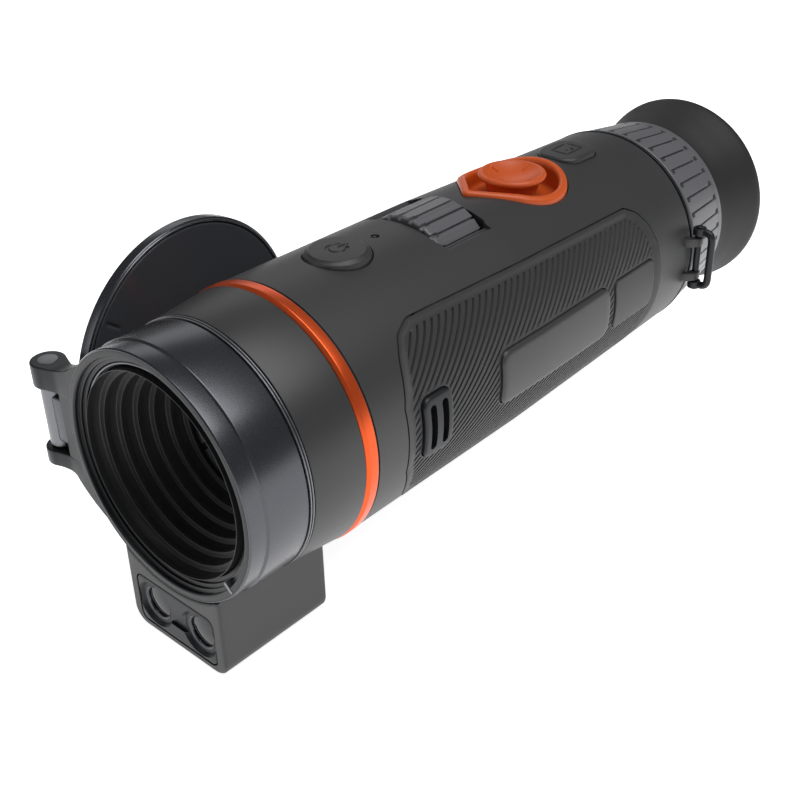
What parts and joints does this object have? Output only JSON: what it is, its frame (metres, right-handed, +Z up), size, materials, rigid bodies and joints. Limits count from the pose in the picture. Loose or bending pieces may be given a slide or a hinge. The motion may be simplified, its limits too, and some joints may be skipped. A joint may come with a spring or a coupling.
{
  "type": "thermal imaging camera",
  "caption": "Handheld thermal monocular with a flip-open lens cover, focus wheel, orange joystick, ribbed rubber grips, diopter ring, eyecup and a rangefinder block.",
  "frame": {"origin": "middle of the flat tripod pad under the main housing", "axes": "+Y along the optical axis towards the eyepiece, so the objective faces -Y; +Z up, away from the tripod pad; +X towards the grip that carries the name plate and the port"},
  "size_m": [0.0807, 0.2191, 0.0853],
  "materials": {
    "housing": "fine matt texture",
    "grip": "ribbed soft-touch",
    "rubber": "matt",
    "anodised": "glossy black anodised",
    "satin": "satin dark anodised",
    "bright": "satin bright",
    "orange_ring": "orange anodised",
    "orange": "satin orange",
    "gloss": "gloss black",
    "germanium": "coated, opaque to visible light",
    "glass": "coated",
    "board": "green solder mask",
    "brass": "turned",
    "cell": "shrink wrap"
  },
  "bodies": {
    "camera_body": {"cover_bracket": "satin", "cover_pin": "bright", "objective_barrel": "anodised", "groove_ring": "bright", "baffle_hood": "housing", "objective_retainer": "satin", "objective_lens": "germanium", "lens_housing": "housing", "trim_ring": "orange_ring", "main_housing": "housing", "grip_right": "grip", "grip_left": "grip", "name_plate": "housing", "strap_anchor": "satin", "port_socket": "bright", "tripod_insert": "brass", "status_light": "gloss", "button_board_front": "board", "button_board_rear": "board", "joystick_rim": "orange", "joystick_base": "gloss", "chassis": "satin", "shutter_frame": "gloss", "sensor_core": "satin", "main_board": "board", "battery_cell": "cell", "battery_cradle": "gloss", "display_holder": "gloss", "display": "gloss", "rear_collar": "satin", "eyepiece_tube": "gloss", "eyecup": "rubber", "strap_pin": "bright", "range_block": "housing", "range_bezel": "satin", "range_lens_left": "glass", "range_lens_right": "glass", "range_module": "gloss", "range_screw_front": "satin", "range_screw_rear": "satin"},
    "lens_cover": {"lens_cover": "anodised", "cover_face": "gloss", "cover_seal": "rubber"},
    "focus_wheel": {"focus_wheel": "satin", "focus_shaft": "bright"},
    "focus_carriage": {"focus_carriage": "satin", "focus_lens": "germanium"},
    "joystick_gimbal": {"joystick_gimbal": "satin"},
    "joystick_yoke": {"joystick_yoke": "satin"},
    "joystick_knob": {"joystick_knob": "orange"},
    "power_button": {"power_button": "rubber"},
    "camera_button": {"camera_button": "rubber"},
    "diopter_ring": {"diopter_ring": "rubber"},
    "eyepiece_cell": {"eyepiece_cell": "satin", "eyepiece_lens_front": "glass", "eyepiece_lens_rear": "glass"},
    "port_cover": {"port_cover": "grip"},
    "strap_ring": {"strap_ring": "satin"}
  },
  "joints": [
    {"name": "lens_cover_swing", "type": "hinge", "parent": "camera_body", "child": "lens_cover", "pos_m": [-0.04, -0.0974, 0.0346], "axis": [0, 0, 1], "range_deg": [0, 266]},
    {"name": "focus_turn", "type": "hinge", "parent": "camera_body", "child": "focus_wheel", "pos_m": [0, -0.0085, 0.0546], "axis": [0, 1, 0], "range_deg": [-150, 150]},
    {"name": "focus_slide", "type": "slide", "parent": "camera_body", "child": "focus_carriage", "axis": [0, 1, 0], "range_m": [-0.0016, 0.0016]},
    {"name": "joystick_tilt_fore", "type": "hinge", "parent": "camera_body", "child": "joystick_gimbal", "pos_m": [0, 0.027, 0.0566], "axis": [1, 0, 0], "range_deg": [-8, 8], "stiffness_Nm_per_rad": 0.2},
    {"name": "joystick_tilt_side", "type": "hinge", "parent": "joystick_gimbal", "child": "joystick_yoke", "pos_m": [0, 0.027, 0.0566], "axis": [0, 1, 0], "range_deg": [-8, 8], "stiffness_Nm_per_rad": 0.2},
    {"name": "joystick_press", "type": "slide", "parent": "joystick_yoke", "child": "joystick_knob", "axis": [0, 0, -1], "range_m": [0, 0.0006], "stiffness_N_per_m": 900},
    {"name": "power_press", "type": "slide", "parent": "camera_body", "child": "power_button", "axis": [0, 0, -1], "range_m": [0, 0.0008], "stiffness_N_per_m": 700},
    {"name": "camera_press", "type": "slide", "parent": "camera_body", "child": "camera_button", "axis": [0, 0, -1], "range_m": [0, 0.0008], "stiffness_N_per_m": 700},
    {"name": "diopter_turn", "type": "hinge", "parent": "camera_body", "child": "diopter_ring", "pos_m": [0, 0.0873, 0.0346], "axis": [0, 1, 0], "range_deg": [-60, 60]},
    {"name": "eyepiece_slide", "type": "slide", "parent": "camera_body", "child": "eyepiece_cell", "axis": [0, 1, 0], "range_m": [-0.0016, 0.0016]},
    {"name": "port_cover_swing", "type": "hinge", "parent": "camera_body", "child": "port_cover", "pos_m": [0.03225, 0.0335, 0.0346], "axis": [0, 0, -1], "range_deg": [0, 100]},
    {"name": "strap_ring_swing", "type": "hinge", "parent": "camera_body", "child": "strap_ring", "pos_m": [0.0323, 0.0752, 0.0346], "axis": [0, 0, 1], "range_deg": [-40, 80]}
  ],
  "couplings": [
    {"joint": "focus_slide", "follows": "focus_turn", "m_per_rad": 0.0006},
    {"joint": "eyepiece_slide", "follows": "diopter_turn", "m_per_rad": 0.0015}
  ]
}
